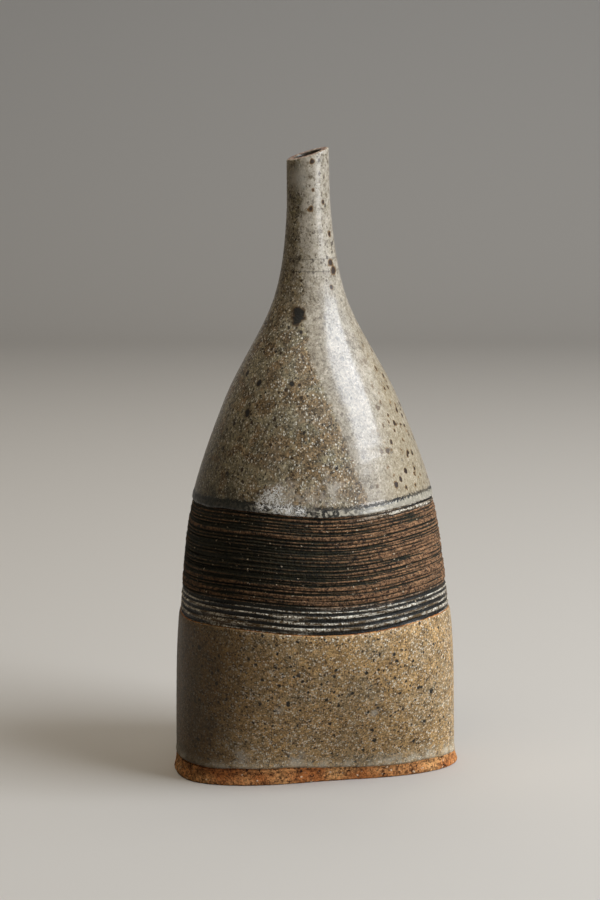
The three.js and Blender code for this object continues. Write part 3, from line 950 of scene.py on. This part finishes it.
for marks, edge, edge_depth, rings in MARK_KINDS:
    colour = add_marks(tree, run_down, colour, marks, edge, edge_depth, rings, RUN_STRETCH)

# The lip, toasted where the glaze drew back from its edge in beads, and the bore, painted dark as shade.
lip_clots = add_node(tree, "MapRange", {0: clots, 1: 0.52, 2: 0.64})
lip_colour = add_node(tree, "MixRGB", {"Fac": lip_clots, "Color1": linear("7a4522"),
                                       "Color2": linear("d8c7a8")})
on_lip = add_node(tree, "MapRange", {0: depth_in, 1: 0.1 * MM, 2: 0.5 * MM, 4: 0.9})
lipped = add_node(tree, "MixRGB", {"Fac": on_lip, "Color1": colour, "Color2": lip_colour})
# Painted shade: the bore is darkened.
shaded_bore = add_node(tree, "MapRange", {0: depth_in, 1: 2.0 * MM, 2: 2.7 * MM, 4: 0.9})
bore_shaded = add_node(tree, "MixRGB", {"Fac": shaded_bore, "Color1": lipped, "Color2": linear("2e2c21")})

# The grain of the body stands up through the thin coat, and the thick coat is smooth but for ripples.
# The coat is glossy, but for the lines, the dark part of the roll, the neck and the left side that is
# darkened as painted shade.
RELIEF_DEPTH = 0.25 * MM
GLOSS_RELIEF_DEPTH = 0.08 * MM
RIPPLE_SIZE = 4 * MM
RIPPLE_DEPTH = 0.2 * MM
grain_depth = add_node(tree, "MapRange", {0: thick_share, 2: 0.8, 3: 0.8, 4: 0.25})
grain = add_node(tree, "TexNoise", {"Vector": place, "Scale": 1 / RELIEF_SIZE, "Detail": 2.0,
                                    "Roughness": 0.75})
grainy = add_node(tree, "Bump", {"Height": grain, "Strength": grain_depth, "Distance": RELIEF_DEPTH})
gloss_depth = add_node(tree, "MapRange", {0: thick_share, 2: 0.7, 3: 0.5, 4: 0.0})
gloss_grain = add_node(tree, "Bump", {"Height": grain, "Strength": gloss_depth,
                                      "Distance": GLOSS_RELIEF_DEPTH})
ripple = add_node(tree, "TexNoise", {"Vector": place, "Scale": 1 / RIPPLE_SIZE, "Detail": 2.0})
rippled = add_node(tree, "Bump", {"Height": ripple, "Strength": 0.2, "Distance": RIPPLE_DEPTH,
                                  "Normal": gloss_grain})
clear_roll = add_node(tree, "MapRange", {0: cream_and_glint_share, 1: 0.4, 2: 0.0, 4: 0.9})
dark_roll = add_node(tree, "Math", {0: roll_zone, 1: clear_roll}, operation="MULTIPLY")
dull_neck = add_node(tree, "Math", {0: up_neck, 1: 0.65}, operation="MULTIPLY")
for duller in (dark_roll, dull_neck, shade_left):
    dull = add_node(tree, "Math", {0: dull, 1: duller}, operation="MAXIMUM")
coat_weight = add_node(tree, "MapRange", {0: dull, 3: 0.72, 4: 0.1})
feed(tree, shader, {"Base Color": bore_shaded, "Normal": grainy, "Roughness": 0.5, "Coat Weight": coat_weight,
                    "Coat Normal": rippled, "Coat Roughness": 0.18, "Coat IOR": 1.58})

set_piece(bm, "oatmeal_coat", "upper_glaze", oatmeal)

# Studio. A sweep of pale matt paper is floor and backdrop. Two soft lights stand on the right, one high
# and one low, with a faint one beside them, and weak ones behind and above light the rest. The camera
# looks from the front, a little from the left.

CAMERA_TURN = math.radians(-13)
CAMERA_RISE = math.radians(10.5)
CAMERA_DISTANCE = 0.91
CAMERA_LENS = 104.0
LOOK_AT = Vector((-1.0 * MM, 0.2 * MM, 108 * MM))
FRAME_LONG_SIDE = 900
POT_RIGHT_OF_MIDDLE = 14
POT_BELOW_MIDDLE = 15


def direction(turn, rise):
    """A unit vector from the pot: turn goes round from the front to the right, rise goes up."""
    return Vector((math.sin(turn) * math.cos(rise), -math.cos(turn) * math.cos(rise), math.sin(rise)))


camera_data = bpy.data.cameras.new("photo_camera")
camera_data.lens = CAMERA_LENS
camera_data.shift_x = -POT_RIGHT_OF_MIDDLE / FRAME_LONG_SIDE
camera_data.shift_y = POT_BELOW_MIDDLE / FRAME_LONG_SIDE
camera = bpy.data.objects.new("photo_camera", camera_data)
camera.location = LOOK_AT + CAMERA_DISTANCE * direction(CAMERA_TURN, CAMERA_RISE)
camera.rotation_euler = direction(CAMERA_TURN, CAMERA_RISE).to_track_quat("Z", "Y").to_euler()
bpy.context.scene.collection.objects.link(camera)
bpy.context.scene.camera = camera

SWEEP_HALF_WIDTH = 3.0
SWEEP_FRONT = -2.5
SWEEP_BACK = 1.1
SWEEP_BEND = 0.5
SWEEP_BEND_STEPS = 24
SWEEP_TOP = 2.6
bm = bmesh.new()
front = bm.verts.new((-SWEEP_HALF_WIDTH, SWEEP_FRONT, 0))
back = bm.verts.new((-SWEEP_HALF_WIDTH, SWEEP_BACK, 0))
bm.edges.new((front, back))
bend = bmesh.ops.spin(bm, geom=[back], axis=(1, 0, 0), cent=(-SWEEP_HALF_WIDTH, SWEEP_BACK, SWEEP_BEND),
                      angle=math.radians(90), steps=SWEEP_BEND_STEPS)
bend_end = [part for part in bend["geom_last"] if isinstance(part, bmesh.types.BMVert)][0]
wall_top = bm.verts.new((-SWEEP_HALF_WIDTH, SWEEP_BACK + SWEEP_BEND, SWEEP_TOP))
bm.edges.new((bend_end, wall_top))
side = bmesh.ops.extrude_edge_only(bm, edges=bm.edges[:])
moved = [part for part in side["geom"] if isinstance(part, bmesh.types.BMVert)]
bmesh.ops.translate(bm, verts=moved, vec=(2 * SWEEP_HALF_WIDTH, 0, 0))
bmesh.ops.rotate(bm, verts=bm.verts[:], cent=(0, 0, 0),
                 matrix=Matrix.Rotation(CAMERA_TURN, 3, "Z"))
bmesh.ops.recalc_face_normals(bm, faces=bm.faces[:])
for face in bm.faces:
    face.smooth = True
sweep_mesh = bpy.data.meshes.new("paper_sweep")
bm.to_mesh(sweep_mesh)
bm.free()


def seen_rays(tree):
    """1 for the rays that show a surface as it looks: from the camera, mirrored, or through glass."""
    ray = add_node(tree, "LightPath")
    seen = ray.outputs["Is Camera Ray"]
    for kind in ("Is Glossy Ray", "Is Transmission Ray"):
        seen = add_node(tree, "Math", {0: seen, 1: ray.outputs[kind]}, operation="MAXIMUM")
    return seen


# Matt paper, pale to the camera and in reflections. The light that it throws back on the pot is dimmer
# and browner than it looks, so that the pot's shaded side stays deep.
paper, tree, shader = new_material("pale_paper")
paper_colour = add_node(tree, "MixRGB", {"Fac": seen_rays(tree), "Color1": linear("33261a"),
                                         "Color2": linear("cfc9bf")})
feed(tree, shader, {"Base Color": paper_colour, "Roughness": 0.9})
sweep_mesh.materials.append(paper)
sweep = bpy.data.objects.new("paper_sweep", sweep_mesh)
bpy.context.scene.collection.objects.link(sweep)

# Rectangles of even light that face the pot: name, degrees round from the camera to the right, degrees
# up, distance, width, height, watts and tint.
SOFT_LIGHTS = (
    ("right_high", 69.5, 39, 1.3, 0.78, 0.85, 17.4, "ebf3ff"),
    ("right_beside", 102.5, 36, 1.3, 0.8, 0.85, 2.0, "ebf3ff"),
    ("right_low", 57.5, 0, 1.3, 0.6, 0.45, 7.3, "f2f5fa"),
    ("behind", 180, 55, 1.0, 1.2, 0.8, 3.0, "f7f1e8"),
    ("above", -35, 70, 1.5, 0.9, 0.9, 5.5, "fff4e4"),
)
for name, turn, rise, distance, width, height, watts, tint in SOFT_LIGHTS:
    light_data = bpy.data.lights.new(name, "AREA")
    light_data.shape = "RECTANGLE"
    light_data.size = width
    light_data.size_y = height
    light_data.energy = watts
    light_data.color = linear(tint)[:3]
    light = bpy.data.objects.new(name, light_data)
    toward = direction(CAMERA_TURN + math.radians(turn), math.radians(rise))
    light.location = LOOK_AT + distance * toward
    light.rotation_euler = toward.to_track_quat("Z", "Y").to_euler()
    bpy.context.scene.collection.objects.link(light)

SURROUND_LIGHT = 0.022
SURROUND_SEEN = 0.06
world = bpy.data.worlds.new("dim_surround")
world.use_nodes = True
tree = world.node_tree
surround_level = add_node(tree, "MapRange", {0: seen_rays(tree), 3: SURROUND_LIGHT, 4: SURROUND_SEEN})
feed(tree, tree.nodes["Background"], {"Color": linear("f7ead8"), "Strength": surround_level})
bpy.context.scene.world = world
bpy.context.scene.view_settings.view_transform = "Standard"
